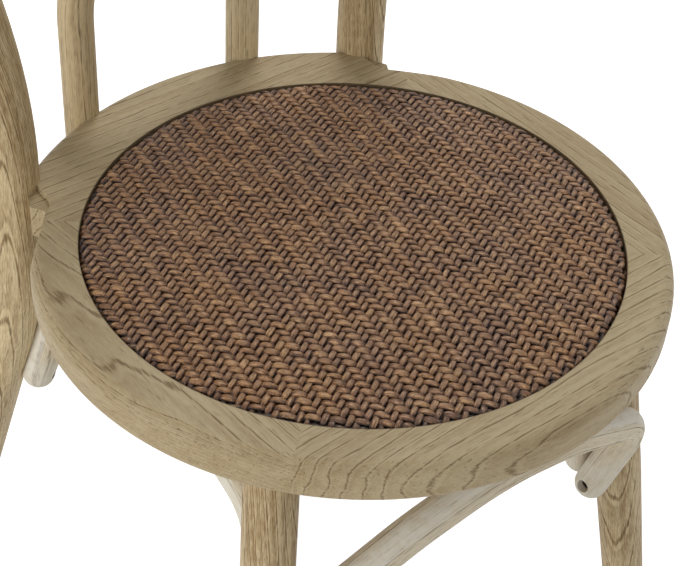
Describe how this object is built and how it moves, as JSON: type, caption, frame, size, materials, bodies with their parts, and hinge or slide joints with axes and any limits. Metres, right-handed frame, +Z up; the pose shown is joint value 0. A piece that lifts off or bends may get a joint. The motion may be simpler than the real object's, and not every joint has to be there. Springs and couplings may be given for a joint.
{
  "type": "dining chair",
  "caption": "Cross back dining chair with a round woven rattan seat, splayed round legs, bent bow back with crossing rods, and arched braces under the seat.",
  "frame": {"origin": "middle of the chair's footprint box, on the floor", "axes": "+Z up, -Y the way the sitter faces, +X the chair's left side"},
  "size_m": [0.429, 0.5426, 0.8849],
  "materials": {
    "ring_wood": "open-grained oak, weathered grey-brown, matt",
    "frame_wood": "open-grained oak, weathered grey-brown, matt",
    "brace_wood": "limed oak, paler than the frame, matt",
    "cross_wood": "open-grained oak, weathered, matt",
    "dowel_wood": "plain beech",
    "plywood": "plain plywood",
    "foam": "thin seat foam",
    "rattan": "woven rattan core, brown, low gloss",
    "screw_steel": "zinc plated",
    "bolt_steel": "zinc plated",
    "glide_plastic": "moulded nylon"
  },
  "bodies": {
    "root": {"arch_brace_front": "brace_wood", "arch_brace_left": "brace_wood", "arch_brace_rear": "brace_wood", "arch_brace_right": "brace_wood", "back_bow": "frame_wood", "back_bow_dowels": "dowel_wood", "brace_foot_screws": "screw_steel", "cross_center_screw": "screw_steel", "cross_rod_left": "cross_wood", "cross_rod_right": "cross_wood", "cross_rod_seat_screws": "screw_steel", "cross_rod_top_screws": "screw_steel", "foot_glides": "glide_plastic", "front_leg_left": "frame_wood", "front_leg_right": "frame_wood", "rear_post_barrel_nuts": "bolt_steel", "rear_post_bolts": "bolt_steel", "rear_post_left": "frame_wood", "rear_post_right": "frame_wood", "seat_board": "plywood", "seat_board_screws": "screw_steel", "seat_foam_pad": "foam", "seat_rail_dowels": "dowel_wood", "seat_rail_front": "ring_wood", "seat_rail_left": "ring_wood", "seat_rail_rear": "ring_wood", "seat_rail_right": "ring_wood", "woven_rattan_cover": "rattan"}
  },
  "joints": []
}
